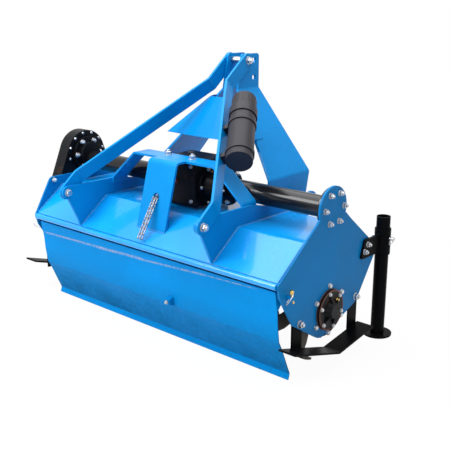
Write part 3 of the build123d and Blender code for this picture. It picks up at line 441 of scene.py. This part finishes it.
nodeFinish = {
    "hoodBlueLit": ["rotor_hood", "hinge_rod", "front_beam"],
    "plateBlueShaded": ["side_plate_right", "side_plate_left"],
    "frameBlue": ["rib_right", "rib_left", "mast_leg_right", "mast_leg_left", "strut_right", "strut_left",
                  "gearbox_saddle", "saddle_strap", "pto_guard"],
    "tailgateBlue": ["tailgate_panel", "tailgate_ear_right", "tailgate_ear_left", "tailgate_bracket"],
    "tubeBlack": ["cross_tube_right", "cross_tube_left"],
    "blackPaint": ["skid_right", "skid_left", "stand_sleeve_right", "stand_sleeve_left", "stand_leg_right",
                   "stand_leg_left", "rotor_shaft"],
    "castBlack": ["gearbox_housing", "gearbox_side_cover_right", "gearbox_side_cover_left", "tube_flange_left",
                  "gear_case", "gear_case_cover", "rotor_hub_right", "rotor_hub_left"],
    "zinc": ["top_link_spacer"],
    "chainZinc": ["tailgate_chain"],
    "shaftSteel": ["pto_shaft"],
    "plastic": ["document_tube", "document_cap", "document_bracket", "gearbox_breather"],
    "tineSteel": ["rotor_tines"],
}
for finishName, members in nodeFinish.items():
    for nodeName in members:
        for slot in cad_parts[nodeName].material_slots:
            slot.material = finishes[finishName]
missing = sorted(set(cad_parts) - {n for members in nodeFinish.values() for n in members})
print("nodes without a finish:", missing)

weldBeads = {
    "name": "weldBeads", "body": "machine", "slot": "blue_paint", "finish": "weldPaint",
    "radius": 3.4, "step": 4.0, "segments": 7, "ripple": (1.0, 1.16, 0.94, 1.1, 0.9, 1.2, 1.02),
    # x of each seam along the hood, with the y it starts and ends at
    "hoodSeams": [(ribX, -328, 284), (ribX + ribThickness, -328, 284), (legFootX + legThickness, 114, 284),
                  (plateInner - 1, -326, 160)],
    "strapFoot": [(-87, -271.6, 486.2), (87, -271.6, 486.2)],
}


def bead(bm, points, piece):
    path = resampled([place(*p) for p in points], piece["step"])
    sweep(bm, path, [piece["radius"] * share for share in piece["ripple"]], piece["segments"])


def hoodBead(bm, x, low, high, piece):
    # follows the hood between two y values
    ends = []
    for edge in (low, high):
        for (y0, z0), (y1, z1) in zip(hoodLine, hoodLine[1:]):
            if y0 <= edge <= y1:
                ends.append((x, edge, z0 + (z1 - z0) * (edge - y0) / (y1 - y0)))
                break
    bead(bm, [ends[0]] + [(x, y, z) for y, z in hoodLine if low < y < high] + [ends[1]], piece)


def makeWelds(bm, piece):
    for side in (-1, 1):
        for x, low, high in piece["hoodSeams"]:
            hoodBead(bm, side * x, low, high, piece)
    bead(bm, piece["strapFoot"], piece)


caseRimBolts = {
    "name": "caseRimBolts", "body": "machine", "slot": "zinc", "finish": "zinc",
    "lobeRadius": 106, "lobeAngles": range(-20, 220, 30), "lobeFlats": 11,
    # y, z, radius, first and last angle of each arc of the cover's rim
    "rim": [(caseY, caseTopZ, 106, -10, 190), (-9, 455, 194, -28, 28), (-9, 455, 194, 152, 208),
            (0, rotorZ, 114, 200, 340)],
    "rimStep": 28, "rimFace": -830, "rimFlats": 13,
}


def makeCaseBolts(bm, piece):
    places = around(-plateOuter, caseY, caseTopZ, piece["lobeRadius"], piece["lobeAngles"], toRight,
                    piece["lobeFlats"], "head")
    for y, z, radius, first, last in piece["rim"]:
        angles = range(first, last + 1, piece["rimStep"])
        places += around(piece["rimFace"], y, z, radius, angles, toLeft, piece["rimFlats"], "head")
    bolts(bm, places)


caseFlangeBolts = {"name": "caseFlangeBolts", "body": "machine", "slot": "zinc", "finish": "zinc",
                   "face": -744, "radius": 71, "count": 6, "flats": 19}


def makeCaseFlangeBolts(bm, piece):
    bolts(bm, circleOf(piece["face"], caseY, caseTopZ, piece["radius"], piece["count"], 0, toRight,
                       piece["flats"], "nut"))


breatherCap = {
    "name": "breatherCap", "body": "machine", "slot": "black_plastic", "finish": "plastic",
    "replaces": "gearbox_breather", "at": (-16, 7, 771),
    "hexFoot": [(-0.5, 0), (-0.5, 15), (7, 15), (8, 13.5), (8, 0)],
    "cap": [(7, 0), (7, 11), (10, 11), (10, 16), (11, 17), (18, 17), (20.5, 15), (22, 11), (22, 0)],
}


def makeBreather(bm, piece):
    at = place(*piece["at"])
    lathe(bm, at, toTop, piece["hexFoot"], 6)
    lathe(bm, at, toTop, piece["cap"], 32)


# the reddish gasket and lip that show round the bearing cap
hubSeal = {
    "name": "hubSeal", "body": "machine", "slot": "cast_black", "finish": "seal",
    "gasket": [(-0.4, 84), (-0.4, 88), (2.5, 88), (3, 87.5), (3, 84), (-0.4, 84)],
    "lip": [(13, 84.5), (13, 86), (13.6, 86), (14.4, 84.6), (14.4, 80), (13, 80)],
}


def makeHubSeal(bm, piece):
    at = place(plateOuter, 0, rotorZ)
    lathe(bm, at, toRight, piece["gasket"], 64)
    lathe(bm, at, toRight, piece["lip"], 64)


levelPlug = {
    "name": "levelPlug", "body": "machine", "slot": "cast_black", "finish": "plug", "at": (-12, gearboxRear, 673),
    "flange": [(-0.5, 0), (-0.5, 13), (3, 13), (4, 12), (4, 0)],
    "hexHead": [(4, 0), (4, 9), (11, 9), (12, 8), (12, 0)],
}


def makePlug(bm, piece):
    at = place(*piece["at"])
    lathe(bm, at, toRear, piece["flange"])
    lathe(bm, at, toRear, piece["hexHead"], 6)


gearboxBolts = {
    "name": "gearboxBolts", "body": "machine", "slot": "zinc", "finish": "zinc",
    "corners": [(-80, 751), (80, 751), (-80, 593), (80, 593)], "cornerFlats": 15,
    "coverFace": 127, "coverRadius": 86, "coverCount": 6, "coverFlats": 13,
}


def makeGearboxBolts(bm, piece):
    places = [(x, gearboxRear, z, toRear, piece["cornerFlats"], "head") for x, z in piece["corners"]]
    places += bothSides(circleOf(piece["coverFace"], tubeY, tubeZ, piece["coverRadius"], piece["coverCount"], 0,
                                 toRight, piece["coverFlats"], "head"))
    bolts(bm, places)


tubeFlangeBolts = {"name": "tubeFlangeBolts", "body": "machine", "slot": "zinc", "finish": "zinc",
                   "headFace": 201, "nutFace": 225, "radius": 66.5, "count": 6, "flats": 16}


def makeFlangeBolts(bm, piece):
    places = []
    for face, axis, kind in ((piece["headFace"], toLeft, "head"), (piece["nutFace"], toRight, "nut")):
        places += circleOf(face, tubeY, tubeZ, piece["radius"], piece["count"], 0, axis, piece["flats"], kind)
    bolts(bm, bothSides(places))


saddleBolts = {"name": "saddleBolts", "body": "machine", "slot": "zinc", "finish": "zinc",
               "spread": 75, "y": -80, "top": 781, "flats": 26}


def makeSaddleBolts(bm, piece):
    x = piece["spread"]
    bolts(bm, [(side * x, piece["y"], piece["top"], toTop, piece["flats"], "nut") for side in (-1, 1)])


strutBolts = {"name": "strutBolts", "body": "machine", "slot": "zinc", "finish": "zinc",
              "foot": (-395, 608), "head": (60, 314, 1182), "flats": 27}


def makeStrutBolts(bm, piece):
    y, z = piece["foot"]
    flats = piece["flats"]
    bolts(bm, bothSides([(ribX, y, z, toLeft, flats, "head"), (ribX + 2 * ribThickness, y, z, toRight, flats, "nut"),
                         (*piece["head"], toRight, flats, "nut")]))


plateBolts = {"name": "plateBolts", "body": "machine", "slot": "zinc", "finish": "zinc",
              "bracketFace": 770, "bracket": [(263, 454), (241, 426)], "flats": 19, "leftStay": (-223, 586)}


def makePlateBolts(bm, piece):
    flats = piece["flats"]
    places = [(piece["bracketFace"], y, z, toRight, flats, "nut") for y, z in piece["bracket"]]
    places += [(plateInner, y, z, toLeft, flats, "head") for y, z in piece["bracket"]]
    bolts(bm, bothSides(places) + [(-plateInner, *piece["leftStay"], toRight, flats, "nut")])


lobeBolts = {"name": "lobeBolts", "body": "machine", "slot": "zinc", "finish": "zinc",
             "radius": 66, "count": 6, "behindTube": 6, "flats": 19}


def makeLobeBolts(bm, piece):
    bolts(bm, circleOf(plateOuter, tubeY + piece["behindTube"], tubeZ, piece["radius"], piece["count"], 0, toRight,
                       piece["flats"], "nut"))


hubBolts = {
    "name": "hubBolts", "body": "machine", "slot": "zinc", "finish": "zinc",
    # proud of the plate, radius, first angle and width across flats
    "rings": [(0, 103, 30, 17), (14, 74, 42, 13)], "count": 6,
}


def makeHubBolts(bm, piece):
    for proud, radius, start, flats in piece["rings"]:
        bolts(bm, circleOf(plateOuter + proud, 0, rotorZ, radius, piece["count"], start, toRight, flats, "head"))


hubNipple = {
    "name": "hubNipple", "body": "machine", "slot": "yellow_zinc", "finish": "brass", "at": (774, 34, rotorZ + 38),
    "profile": [(-0.5, 0), (-0.5, 6), (4, 6), (4.5, 5), (6, 3.2), (9, 3.2), (10, 4.4), (12, 4.4), (14, 2.4), (14, 0)],
}


def makeNipple(bm, piece):
    lathe(bm, place(*piece["at"]), toRight, piece["profile"], 16)


skidBolts = {
    "name": "skidBolts", "body": "machine", "slot": "zinc", "finish": "zinc",
    "rows": (-200, 200), "z": 236, "flats": 24,
    "faces": [(plateOuter, toRight, "nut"), (742, toLeft, "head"),
              (-842, toLeft, "nut"), (-plateInner, toRight, "head")],
}


def makeSkidBolts(bm, piece):
    z, flats = piece["z"], piece["flats"]
    bolts(bm, [(x, y, z, axis, flats, kind) for y in piece["rows"] for x, axis, kind in piece["faces"]])


standPins = {
    "name": "standPins", "body": "machine", "slot": "zinc", "finish": "zinc",
    "axle": (394, 456), "inner": 716, "outer": 816, "radius": 7.0,
    "collar": [(-0.5, 0), (-0.5, 10), (4, 10), (5, 9), (5, 0)],
    "ring": {"x": 810, "drop": 11, "lean": 0.3, "radius": 17, "wire": 1.4},
}


def makeStandPins(bm, piece):
    y, z = piece["axle"]
    ring = piece["ring"]
    for side in (-1, 1):
        end = place(side * piece["outer"], y, z)
        sweep(bm, [place(side * piece["inner"], y, z), end], [piece["radius"]], 16)
        lathe(bm, end, (side, 0, 0), piece["collar"], 20)
        wireRing(bm, place(side * ring["x"], y, z - ring["drop"]), (0, 1, 0), (side * ring["lean"], 0, 0.95),
                 ring["radius"], ring["wire"])


linchpins = {
    "name": "linchpins", "body": "tailgate", "slot": "yellow_zinc", "finish": "brass",
    "x": 781, "pinTop": (-284, 395), "pinFoot": (-272, 351), "radius": 4.2, "headSeat": (-283.5, 392),
    "head": [(0, 0), (0, 7), (2, 8.6), (7, 9.4), (12, 8.6), (15, 6), (16.5, 0)],
}


def makeLinchpins(bm, piece):
    for x in (-piece["x"], piece["x"]):
        top, foot = place(x, *piece["pinTop"]), place(x, *piece["pinFoot"])
        sweep(bm, [top, foot], [piece["radius"]], 14)
        lathe(bm, place(x, *piece["headSeat"]), top - foot, piece["head"])


# each hangs back and down from the pin's head, turned a little off the plate
linchpinRings = {
    "name": "linchpinRings", "body": "tailgate", "slot": "zinc", "finish": "zinc",
    "at": (787, -304, 378), "hang": (0, -0.75, -0.66), "lean": (-0.68, 0.48, -0.55), "radius": 26, "wire": 1.6,
}


def makeLinchRings(bm, piece):
    x, y, z = piece["at"]
    leanX, leanY, leanZ = piece["lean"]
    for side in (-1, 1):
        lean = (side * leanX, leanY, leanZ)
        wireRing(bm, place(side * x, y, z), piece["hang"], lean, piece["radius"], piece["wire"])


bracketScrew = {"name": "bracketScrew", "body": "tailgate", "slot": "zinc", "finish": "zinc",
                "at": (154, -332, 205), "flats": 13}


def makeBracketScrew(bm, piece):
    bolts(bm, [(*piece["at"], toRear, piece["flats"], "head")])


def newPiece(piece, make):
    bm = bmesh.new()
    make(bm, piece)
    bmesh.ops.remove_doubles(bm, verts=bm.verts[:], dist=mergeDistance)
    bmesh.ops.recalc_face_normals(bm, faces=bm.faces[:])
    for face in bm.faces:
        face.smooth = True
    for edge in bm.edges:
        if len(edge.link_faces) == 2 and edge.calc_face_angle(0) > sharpAngle:
            edge.smooth = False
    mesh = bpy.data.meshes.new(piece["name"])
    bm.to_mesh(mesh)
    bm.free()
    obj = bpy.data.objects.new(piece["name"], mesh)
    bpy.context.scene.collection.objects.link(obj)
    obj.data.materials.append(finishes[piece["finish"]])
    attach(obj, piece["body"])
    if "replaces" in piece:
        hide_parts(piece["replaces"])
    return obj


pieces = [
    (weldBeads, makeWelds), (caseRimBolts, makeCaseBolts), (caseFlangeBolts, makeCaseFlangeBolts),
    (breatherCap, makeBreather), (hubSeal, makeHubSeal), (levelPlug, makePlug), (gearboxBolts, makeGearboxBolts),
    (tubeFlangeBolts, makeFlangeBolts), (saddleBolts, makeSaddleBolts), (strutBolts, makeStrutBolts),
    (plateBolts, makePlateBolts), (lobeBolts, makeLobeBolts), (hubBolts, makeHubBolts), (hubNipple, makeNipple),
    (skidBolts, makeSkidBolts), (standPins, makeStandPins), (linchpins, makeLinchpins),
    (linchpinRings, makeLinchRings), (bracketScrew, makeBracketScrew),
]
for piece, make in pieces:
    made = newPiece(piece, make)
    print("piece:", made.name, len(made.data.polygons))

# Floor, world, lamps and camera
studio = {
    "floorZ": -0.6614, "floorHalf": 120.0, "floorColor": (0.82, 0.83, 0.84), "floorGlow": 0.96,
    # the floor turns wholly white between these distances
    "fadeFrom": 1.1, "fadeTo": 2.4, "ambient": 0.38,
    # place, aim, size and watts
    "lamps": {
        "ceiling": ((0.0, -0.3, 2.6), (0.0, -0.3, 0.0), (4.0, 4.0), 150.0),
        "key": ((-1.7, -3.5, 2.7), (0.0, -0.4, -0.2), (2.2, 2.0), 170.0),
        "side": ((3.6, 0.8, 1.3), (0.7, 0.0, -0.2), (1.6, 1.6), 6.0),
    },
}


def seenWhite(tree):
    # 1 for rays that should meet a white background
    path = add(tree, "LightPath")
    seen = calc(tree, "MAXIMUM", path.outputs["Is Camera Ray"], path.outputs["Is Glossy Ray"])
    return calc(tree, "MAXIMUM", seen, path.outputs["Is Transmission Ray"])


floorMat = bpy.data.materials.new("paleFloor")
floorMat.use_nodes = True
floorTree = floorMat.node_tree
floorTree.nodes.remove(floorTree.nodes["Principled BSDF"])
matte = add(floorTree, "BsdfDiffuse", {"Color": studio["floorColor"]}).outputs[0]
glow = add(floorTree, "Emission", {"Color": (1.0, 1.0, 1.0), "Strength": 1.0}).outputs[0]
away = add(floorTree, "VectorMath", {0: add(floorTree, "TexCoord").outputs["Object"]}, operation="LENGTH")
share = times(floorTree, seenWhite(floorTree), span(floorTree, away.outputs["Value"], studio["fadeFrom"],
                                                    studio["fadeTo"], studio["floorGlow"], 1.0))
surface = add(floorTree, "MixShader", {0: share, 1: matte, 2: glow}).outputs[0]
floorTree.links.new(surface, floorTree.nodes["Material Output"].inputs[0])
bm = bmesh.new()
bmesh.ops.create_grid(bm, x_segments=1, y_segments=1, size=studio["floorHalf"],
                      matrix=Matrix.Translation((0.0, 0.0, studio["floorZ"])))
floorMesh = bpy.data.meshes.new("floor")
bm.to_mesh(floorMesh)
bm.free()
floor = bpy.data.objects.new("floor", floorMesh)
floor.data.materials.append(floorMat)
bpy.context.scene.collection.objects.link(floor)

world = bpy.data.worlds.new("studio")
bpy.context.scene.world = world
world.use_nodes = True
worldTree = world.node_tree
lit = add(worldTree, "MapRange", {"Value": seenWhite(worldTree), "To Min": studio["ambient"], "To Max": 1.0})
fill(worldTree, worldTree.nodes["Background"], {"Strength": lit.outputs[0], "Color": (1.0, 1.0, 1.0)})


def lamp(name, where, aim, size, watts):
    data = bpy.data.lights.new(name, "AREA")
    data.shape = "RECTANGLE"
    data.size, data.size_y = size
    data.energy = watts
    obj = bpy.data.objects.new(name, data)
    heading = (Vector(aim) - Vector(where)).to_track_quat("-Z", "Y")
    obj.matrix_world = Matrix.Translation(where) @ heading.to_matrix().to_4x4()
    obj.visible_camera = False
    bpy.context.scene.collection.objects.link(obj)


for name, setting in studio["lamps"].items():
    lamp(name, *setting)

# solved from the photograph's own perspective
cameraData = bpy.data.cameras.new("photoCamera")
cameraData.sensor_width = 36.0
cameraData.lens = 61.6
camera = bpy.data.objects.new("photoCamera", cameraData)
camera.matrix_world = Matrix((
    (0.7483, -0.1860, 0.6367, 2.382),
    (0.6633, 0.2099, -0.7183, -2.704),
    (0.0, 0.9599, 0.2805, 0.7895),
    (0.0, 0.0, 0.0, 1.0),
))
bpy.context.scene.collection.objects.link(camera)
bpy.context.scene.camera = camera
bpy.context.scene.view_settings.view_transform = "Standard"
print("studio ready")
